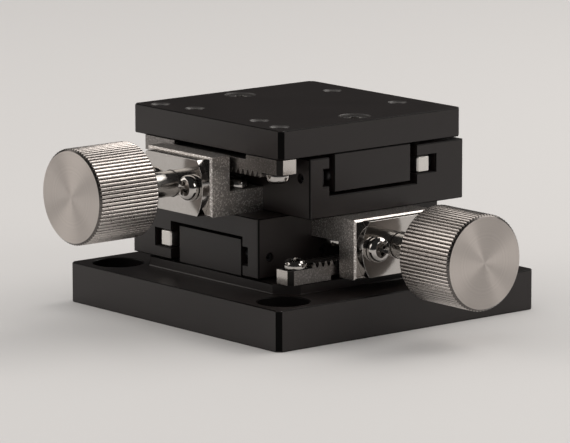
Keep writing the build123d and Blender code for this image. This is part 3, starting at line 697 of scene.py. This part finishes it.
placed = tree.node("GeometryNodeTransform", None,
                   {"Geometry": drilled, "Translation": size["Place"], "Rotation": size["Turn"]})
smooth = shade_by_angle(tree, placed, sharp_from)
finished = tree.node("GeometryNodeSetMaterial", None, {"Geometry": smooth, "Material": size["Finish"]})
tree.node("NodeGroupOutput", None, {"Geometry": finished})


def knob_blank(name, radius, length, bore_radius, bore_depth):
    """The turned blank of a knob, its back at height 0 and its face up."""
    steps = [knob_chamfer * step / chamfer_steps for step in range(chamfer_steps + 1)]
    back = [(radius - knob_chamfer + step, step) for step in steps]
    front = [(radius - step, length - knob_chamfer + step) for step in steps]
    profile = [(0, bore_depth), (bore_radius, bore_depth), (bore_radius, 0), *back, *front, (0, length)]
    ridges = round(2 * pi * radius / knurl_pitch)
    return turned(name, profile, ridges * points_per_ridge), ridges


print("knurl tree with", len(knurl.nodes), "nodes")

# %% [markdown]
# A knob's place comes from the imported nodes: the knob's box gives its rim and its length, the
# shaft's box says how deep its bore is, and the set screw's box where the hole for it goes.
# The face and the chamfers are marked for the turned finish by how they stand to the axis.

# %% Both knobs
shaft_diameter = 5.5 * MM
bore_clearance = 0.015 * MM
bore_end_clearance = 0.2 * MM
set_screw_clearance = 0.02 * MM
chamfer_facing = 0.35


def knob(stage, joint_name):
    """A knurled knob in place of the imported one."""
    node_name = stage + "_knob"
    low, high = [Vector(corner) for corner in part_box(node_name)]
    shaft_low = Vector(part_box(stage + "_pinion_shaft")[0])
    screw_low, screw_high = [Vector(corner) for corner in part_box(stage + "_knob_screw")]
    out = outward[stage]
    along = [index for index in range(3) if out[index]][0]
    across = 1 - along
    middle = Vector(joint_at[joint_name]["pos_m"])
    middle[along] = high[along]
    crest = (high[across] - low[across]) / 2
    length = high[along] - low[along]
    mesh, ridges = knob_blank(node_name + "_blank", crest, length, shaft_diameter / 2 + bore_clearance,
                              high[along] - shaft_low[along] + bore_end_clearance)
    piece = linked(node_name + "_finished", mesh)
    screw_middle = (screw_low + screw_high) / 2
    screw_side = Vector([0 if index == along else value for index, value in enumerate(screw_middle - middle)])
    turn = Matrix((screw_side.normalized(), out.cross(screw_side.normalized()), out)).transposed()
    run_tree(piece, knurl, {
        "Ridges": ridges, "Crest": crest, "Depth": knurl_depth, "Flat": ridge_flat,
        "Screw Hole": (screw_high.z - screw_low.z) / 2 + set_screw_clearance,
        "Screw Height": high[along] - screw_middle[along], "Place": middle, "Turn": turn.to_euler(),
        "Finish": knob_finish[node_name]})
    fine = piece.data.attributes.new("fine", "FLOAT", "FACE")
    for polygon in piece.data.polygons:
        along_axis = abs(polygon.normal.dot(out))
        fine.data[polygon.index].value = (
            face_mark if along_axis > facing else chamfer_mark * (along_axis > chamfer_facing))
    settle(piece, [node_name], knob_finish[node_name])
    print(piece.name, ridges, "ridges,", len(piece.data.polygons), "faces")


knob("lower", "x_knob_turn")
knob("upper", "y_knob_turn")

# %% [markdown]
# ## Screws and balls
# The pan-head screws repeat one shape, and each stands turned by another angle, because
# nobody stops a screw at the same slot. One screw is modelled, and a tree puts an instance of
# it on each place with a turn of its own from a fixed seed. The balls of the guides come from
# the same tree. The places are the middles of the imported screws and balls.

# %% A tree that repeats a model on places
random_float = 1
repeat, tree, size = geometry_tree("repeat_on_places", {
    "Model": "NodeSocketObject", "Lean": "NodeSocketRotation", "Seed": "NodeSocketInt",
    "Finish": "NodeSocketMaterial"})
model = tree.node("GeometryNodeObjectInfo", {"transform_space": "ORIGINAL"}, {"Object": size["Model"]},
                  output="Geometry")
copies = tree.node("GeometryNodeInstanceOnPoints", None,
                   {"Points": size["Geometry"], "Instance": model, "Rotation": size["Lean"]})
angle = tree.node("FunctionNodeRandomValue", {"data_type": "FLOAT"},
                  {"Min": 0.0, "Max": 2 * pi, "Seed": size["Seed"]}, output=random_float)
spin = tree.node("ShaderNodeCombineXYZ", None, {"Z": angle})
copies = tree.node("GeometryNodeRotateInstances", None,
                   {"Instances": copies, "Rotation": spin, "Local Space": True})
solid = tree.node("GeometryNodeRealizeInstances", None, {"Geometry": copies})
finished = tree.node("GeometryNodeSetMaterial", None, {"Geometry": solid, "Material": size["Finish"]})
tree.node("NodeGroupOutput", None, {"Geometry": finished})


def islands(node_name):
    """The lowest and highest corners of each separate solid in a node."""
    shape = welded(node_name)
    shape.verts.ensure_lookup_table()
    left = set(shape.verts)
    boxes = []
    while left:
        group = [left.pop()]
        for vertex in group:
            for edge in vertex.link_edges:
                other = edge.other_vert(vertex)
                if other in left:
                    left.discard(other)
                    group.append(other)
        boxes.append((Vector([min(vertex.co[index] for vertex in group) for index in range(3)]),
                      Vector([max(vertex.co[index] for vertex in group) for index in range(3)])))
    shape.free()
    return sorted(boxes, key=lambda box: tuple(box[0]))


def on_places(node_name, model, places, direction, finish):
    """Copies of a model at places, its z axis leaning along a direction, instead of a node."""
    mesh = bpy.data.meshes.new(node_name + "_places")
    mesh.from_pydata(places, [], [])
    piece = linked(node_name + "_finished", mesh)
    run_tree(piece, repeat, {"Model": model, "Lean": direction.to_track_quat("Z", "Y").to_euler(),
                             "Seed": len(node_name), "Finish": finish})
    settle(piece, [node_name], finish)
    print(piece.name, len(places), "copies")


print("repeat tree with", len(repeat.nodes), "nodes")

# %% [markdown]
# A pan head is a low dome on a straight rim. Its profile is a squashed quarter circle, which
# gives the flat top and round shoulder of a pressed head. The cross recess is cut by two
# wedges that narrow downwards, as the driver's tip does.

# %% Pan-head screws
dome_steps = 10
dome_flatness = 0.55
rim_share = 0.25
recess_span = 0.58
recess_width = 0.15
recess_depth = 0.75
recess_narrowing = 0.35
recess_overshoot = 1.01
head_height_share = 0.4
head_sides = 64
head_edge = 0.05 * MM
head_rounded_from = radians(35)
wedge_corners = ((-1, -1), (1, -1), (1, 1), (-1, 1))
wedge_faces = [(0, 1, 2, 3), (7, 6, 5, 4), (0, 4, 5, 1), (1, 5, 6, 2), (2, 6, 7, 3), (3, 7, 4, 0)]


def wedge(length, width, top, bottom, turn):
    """A cutter that narrows from its top to its bottom, turned about the z axis."""
    corners = []
    for height, share in ((top, 1), (bottom, recess_narrowing)):
        for side_x, side_y in wedge_corners:
            corners.append(Matrix.Rotation(turn, 3, "Z")
                           @ Vector((side_x * length * share / 2, side_y * width * share / 2, height)))
    mesh = bpy.data.meshes.new("wedge")
    mesh.from_pydata(corners, [], wedge_faces)
    return linked("wedge", mesh)


def pan_screw(name, head, shank, length):
    """A pan-head screw with a cross recess, the underside of its head at height 0."""
    height = head * head_height_share
    rim = height * rim_share
    dome = [(head / 2 * cos(pi / 2 * step / dome_steps) ** dome_flatness,
             rim + (height - rim) * sin(pi / 2 * step / dome_steps)) for step in range(dome_steps)]
    profile = [(0, -length), (shank / 2, -length), (shank / 2, 0), (head / 2, 0), *dome, (0, height)]
    screw = linked(name, turned(name, profile, head_sides))
    cutters = []
    for turn in (0, pi / 2):
        cutter = wedge(recess_span * head, recess_width * head, height * recess_overshoot,
                       height * (1 - recess_depth), turn)
        cut = screw.modifiers.new("recess", "BOOLEAN")
        cut.operation = "DIFFERENCE"
        cut.object = cutter
        cutters.append(cutter)
    bevel = screw.modifiers.new("edges", "BEVEL")
    bevel.width = head_edge
    bevel.segments = rounding_segments
    bevel.limit_method = "ANGLE"
    bevel.angle_limit = head_rounded_from
    for polygon in screw.data.polygons:
        polygon.use_smooth = True
    screw.modifiers.new("flats", "WEIGHTED_NORMAL")
    applied(screw)
    for cutter in cutters:
        bpy.data.objects.remove(cutter)
    return screw


shank_of = {"rack_screws": 2.5 * MM, "flange_screws": 3.0 * MM, "bracket_screws": 3.0 * MM}
head_direction = {
    "lower_rack_screws": Vector((0, 0, 1)), "upper_rack_screws": Vector((0, 0, -1)),
    "lower_bracket_screws": Vector((0, 0, -1)), "upper_bracket_screws": Vector((0, 0, 1)),
    "lower_flange_screws": outward["lower"], "upper_flange_screws": outward["upper"],
}
for node_name, direction in head_direction.items():
    boxes = islands(node_name)
    extent = boxes[0][1] - boxes[0][0]
    length = abs(extent.dot(direction))
    head = (sum(extent) - length) / 2
    height = head * head_height_share
    kind = node_name.split("_", 1)[1]
    model = pan_screw(kind + "_model", head, shank_of[kind], length - height)
    places = [(low + high) / 2 + direction * (length / 2 - height) for low, high in boxes]
    on_places(node_name, model, places, direction, finishes["bright_screw"])
    bpy.data.objects.remove(model)

# %% [markdown]
# The balls run between the block and the rails. They are the finest ground pieces of the
# stage, and a sphere made from a subdivided icosahedron has no poles to show.

# %% Balls of the guides
ball_subdivisions = 4
for stage in outward:
    node_name = stage + "_balls"
    boxes = islands(node_name)
    shape = bmesh.new()
    bmesh.ops.create_icosphere(shape, subdivisions=ball_subdivisions,
                               radius=(boxes[0][1].x - boxes[0][0].x) / 2)
    for face in shape.faces:
        face.smooth = True
    mesh = bpy.data.meshes.new(node_name + "_model")
    shape.to_mesh(mesh)
    shape.free()
    model = linked(node_name + "_model", mesh)
    on_places(node_name, model, [(low + high) / 2 for low, high in boxes], Vector((0, 0, 1)),
              finishes["ball_steel"])
    bpy.data.objects.remove(model)

# %% [markdown]
# ## The other nodes
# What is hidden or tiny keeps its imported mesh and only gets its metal.

# %% Finishes for the other nodes
plain_nodes = {
    "rail_screws": "black_oxide",
    "preload_screws": "black_oxide",
    "knob_screw": "black_oxide",
    "joint_screws": "black_oxide",
    "pin": "hardened_steel",
    # The cage stops are black oxide so that they show dark in their gap: painted shade.
    "cage_stop_screws": "black_oxide",
    "fixed_side_cage": "cage_brass",
    "preload_side_cage": "cage_brass",
    "bushing": "bronze",
    "retaining_ring": "black_oxide",
}
for node_name, node in frame["nodes"].items():
    kind = node_name.split("_", 1)[1]
    if kind in plain_nodes:
        node.data.materials.clear()
        node.data.materials.append(finishes[plain_nodes[kind]])
        print(node_name, "keeps its mesh")

# %% [markdown]
# ## Studio
# A pale floor and soft light, as for a catalogue. Polished metal and black film show what
# stands around them, so the sky is dark where they or the camera see it, a little paler at
# the horizon, while an even light from it falls on everything else. Light Path tells the two
# apart.

# %% Floor and world
floor_color = (0.600, 0.590, 0.582)
floor_reach = 6.0
floor_mesh = bpy.data.meshes.new("floor")
floor_shape = bmesh.new()
bmesh.ops.create_grid(floor_shape, x_segments=1, y_segments=1, size=floor_reach)
floor_shape.to_mesh(floor_mesh)
floor_shape.free()
floor = linked("floor", floor_mesh)
floor_material, tree, position = start_material("floor_paint")
show(tree, surface(tree, (*floor_color, 1), 0.6, metallic=0.0, level=0.2))
floor_mesh.materials.append(floor_material)

horizon_level = 0.10
ceiling_level = 0.025
horizon_height = 0.03
ceiling_height = 0.12
ambient_color = (1.0, 0.985, 0.97, 1)
ambient_strength = 0.75
world = bpy.data.worlds.new("studio")
bpy.context.scene.world = world
world.use_nodes = True
world.node_tree.nodes.clear()
sky = Tree(world.node_tree)
path = sky.node("ShaderNodeLightPath").socket.node
seen = sky.math("MAXIMUM", Signal(sky, path.outputs["Is Camera Ray"]),
                sky.math("MAXIMUM", Signal(sky, path.outputs["Is Glossy Ray"]),
                         Signal(sky, path.outputs["Is Transmission Ray"])))
height = sky.split(sky.node("ShaderNodeTexCoord", output="Generated"))[2]
level = sky.node("ShaderNodeValToRGB", {"stops": [
    (0.0, horizon_level), (horizon_height, horizon_level), (ceiling_height, ceiling_level)]}, {"Fac": height})
backdrop = sky.node("ShaderNodeBackground", None, {"Color": level, "Strength": 1.0})
ambient = sky.node("ShaderNodeBackground", None, {"Color": ambient_color, "Strength": ambient_strength})
sky.node("ShaderNodeOutputWorld", None, {"Surface": between(sky, seen, ambient, backdrop)})
print("floor and sky ready")

# %% [markdown]
# Three soft panels stand where the metal mirrors them to the camera. The large one on the
# left draws the bright lines along the right knob, the one far round on the right those along
# the left knob, and the small one near the camera the fan on the right knob's face.

# %% Lamps
lamp_distance = 0.8


def panel(name, azimuth, elevation, size, power, color):
    """A rectangular soft lamp that looks at the stage from an azimuth and elevation in degrees."""
    lamp = bpy.data.lights.new(name, "AREA")
    lamp.shape = "RECTANGLE"
    lamp.size, lamp.size_y = size
    lamp.energy = power
    lamp.color = color
    stand = bpy.data.objects.new(name, lamp)
    bpy.context.scene.collection.objects.link(stand)
    stand.matrix_world = aimed(direction_at(radians(azimuth), radians(elevation)), lamp_distance)
    print(name, "of", power, "watts")


panel("left_panel", -136, 29, size=(0.95, 0.46), power=2.3, color=(1.0, 0.95, 0.90))
panel("right_panel", 14, 28, size=(0.26, 0.30), power=0.8, color=(1.0, 0.96, 0.92))
panel("side_panel", 76, 43, size=(0.75, 0.40), power=3.4, color=(1.0, 0.96, 0.92))
